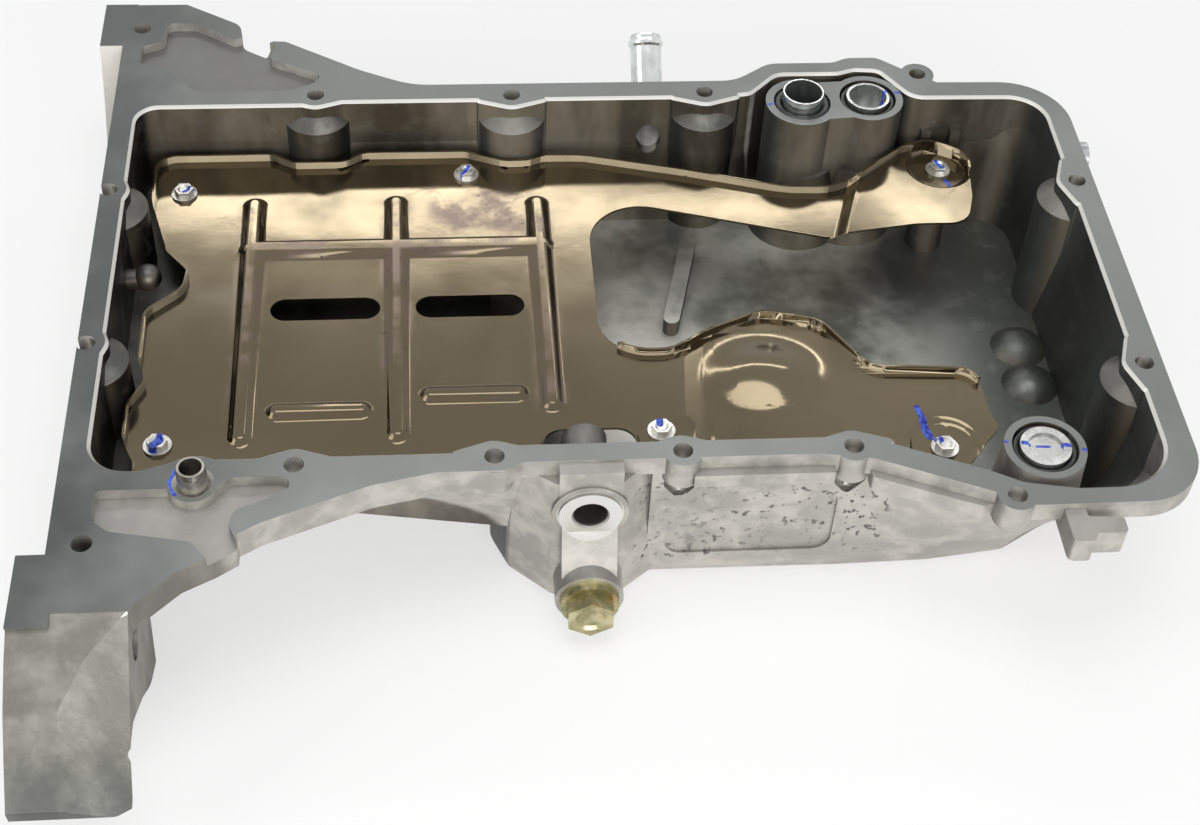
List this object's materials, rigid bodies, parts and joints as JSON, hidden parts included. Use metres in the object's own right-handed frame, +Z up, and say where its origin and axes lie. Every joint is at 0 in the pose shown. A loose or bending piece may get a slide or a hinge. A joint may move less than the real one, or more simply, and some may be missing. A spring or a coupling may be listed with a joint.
{
  "type": "engine oil pan",
  "caption": "Cast aluminium engine oil pan with a deep sump, a bell-housing end, a pressed steel windage tray, a drain plug with washer, a hose nipple and sealed oil ports.",
  "frame": {"origin": "the hollow dowel's axis on the gasket face", "axes": "+X along the pan from the bell-housing end to the sump end, +Y across it from the drain plug's side to the hose nipple's side, +Z up out of the open mouth"},
  "size_m": [0.4974, 0.456, 0.0967],
  "materials": {
    "casting": "matte",
    "tray_steel": "satin",
    "fastener": "satin",
    "plug_zinc": "satin",
    "washer": "satin",
    "tube_steel": "satin",
    "seal": "matte"
  },
  "bodies": {
    "pan": {"dowel_tube": "tube_steel", "hose_nipple": "tube_steel", "pan_casting": "casting", "port_cup": "tube_steel", "port_disc": "tube_steel", "port_seal_1": "seal", "port_seal_2": "seal", "port_seal_3": "seal", "port_tube": "tube_steel", "side_wall_plug": "fastener", "tray_bolt_1": "fastener", "tray_bolt_2": "fastener", "tray_bolt_3": "fastener", "tray_bolt_4": "fastener", "tray_bolt_5": "fastener", "tray_bolt_6": "fastener", "windage_tray": "tray_steel"},
    "washer": {"drain_washer": "washer"},
    "plug": {"drain_plug": "plug_zinc"}
  },
  "joints": [
    {"name": "plug_travel", "type": "slide", "parent": "pan", "child": "washer", "axis": [0, -1, 0], "range_m": [0, 0.012]},
    {"name": "plug_spin", "type": "hinge", "parent": "washer", "child": "plug", "pos_m": [0.1634, -0.0185, -0.066], "axis": [0, -1, 0], "range_deg": [0, 2880]}
  ],
  "couplings": [
    {"joint": "plug_spin", "follows": "plug_travel", "rad_per_m": 4188.8}
  ]
}
